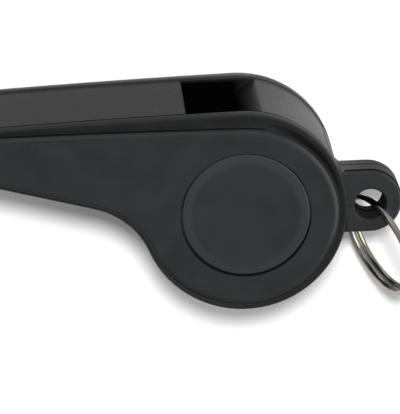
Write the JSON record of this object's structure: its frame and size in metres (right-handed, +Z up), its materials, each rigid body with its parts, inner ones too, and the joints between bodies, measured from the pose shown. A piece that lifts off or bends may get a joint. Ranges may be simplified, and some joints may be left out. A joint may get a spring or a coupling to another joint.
{
  "type": "whistle",
  "caption": "Moulded plastic whistle with a loose cork pea in its chamber, badge discs in its side covers, and a split ring through a lug for a lanyard.",
  "frame": {"origin": "the axis of the badges and the belly, at the flat centre of the lower badge, which the whistle lies on", "axes": "+Z up through both badges, +X from the mouthpiece to the lug, +Y to the side that the window opens on"},
  "size_m": [0.0595, 0.0281, 0.0183],
  "materials": {
    "plastic": "satin charcoal moulding with a fine texture",
    "badge_plastic": "satin charcoal disc, bare",
    "cork": "raw cork",
    "nickel": "polished nickel plate"
  },
  "bodies": {
    "whistle_body": {"body_core": "plastic", "upper_cover": "plastic", "lower_cover": "plastic", "upper_badge": "badge_plastic", "lower_badge": "badge_plastic"},
    "pea": {"cork_pea": "cork"},
    "ring": {"split_ring": "nickel"}
  },
  "joints": [
    {"name": "pea_orbit", "type": "hinge", "parent": "whistle_body", "child": "pea", "pos_m": [-0.0001, -0.0004, 0.00902], "axis": [0, 0, 1], "continuous": true},
    {"name": "ring_swing", "type": "hinge", "parent": "whistle_body", "child": "ring", "pos_m": [0.01617, -0.00165, 0.00902], "axis": [0, 0, 1], "range_deg": [-25, 170]}
  ]
}
